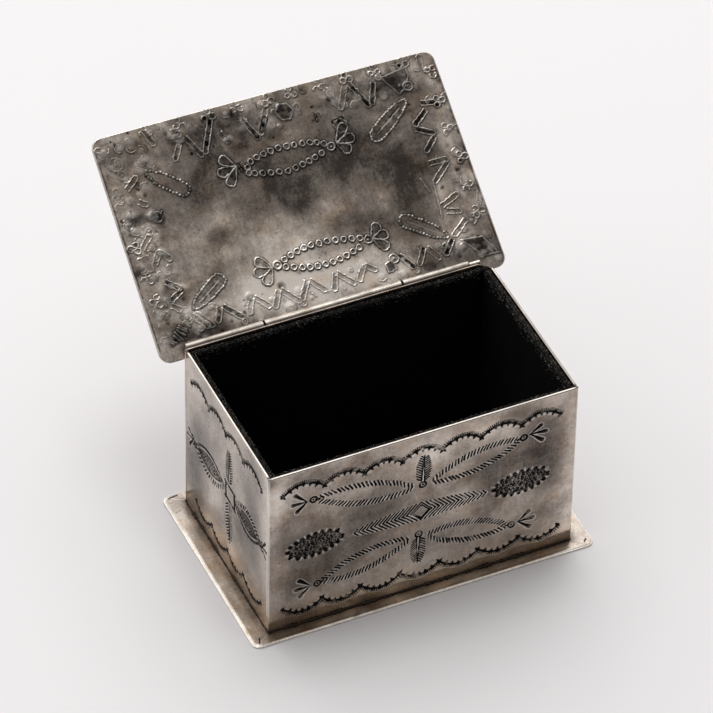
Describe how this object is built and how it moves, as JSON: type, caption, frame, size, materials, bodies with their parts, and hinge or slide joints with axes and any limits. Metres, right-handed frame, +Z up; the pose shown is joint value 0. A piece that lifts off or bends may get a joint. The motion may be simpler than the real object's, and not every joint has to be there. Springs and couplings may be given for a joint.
{
  "type": "hinged keepsake box",
  "caption": "Rectangular keepsake box of stamped silver sheet on a flanged base plate, with a flat overhanging lid on a tube hinge at the back and a black velvet lining.",
  "frame": {"origin": "middle of the base plate's underside, below the middle of the body", "axes": "+X to the right along the front, +Y from the front wall to the hinge, +Z up"},
  "size_m": [0.131, 0.1444, 0.1153],
  "materials": {
    "tarnished_silver": "hand-stamped, with dark patina in the stamping and cloudy tarnish",
    "worn_silver": "worn bright by handling",
    "lining_card": "matte",
    "black_velvet": "short dense pile"
  },
  "bodies": {
    "box": {"base_plate": "tarnished_silver", "wall_front": "tarnished_silver", "wall_back": "tarnished_silver", "wall_left": "tarnished_silver", "wall_right": "tarnished_silver", "hinge_knuckle_left": "worn_silver", "hinge_knuckle_right": "worn_silver", "hinge_pin": "worn_silver", "card_front": "lining_card", "card_back": "lining_card", "card_left": "lining_card", "card_right": "lining_card", "card_floor": "lining_card", "velvet_front": "black_velvet", "velvet_back": "black_velvet", "velvet_left": "black_velvet", "velvet_right": "black_velvet", "velvet_floor": "black_velvet"},
    "lid": {"lid_plate": "tarnished_silver", "hinge_knuckle_middle": "worn_silver"}
  },
  "joints": [
    {"name": "lid_hinge", "type": "hinge", "parent": "box", "child": "lid", "pos_m": [0, 0.0377, 0.071], "axis": [1, 0, 0], "range_deg": [0, 144.5]}
  ]
}
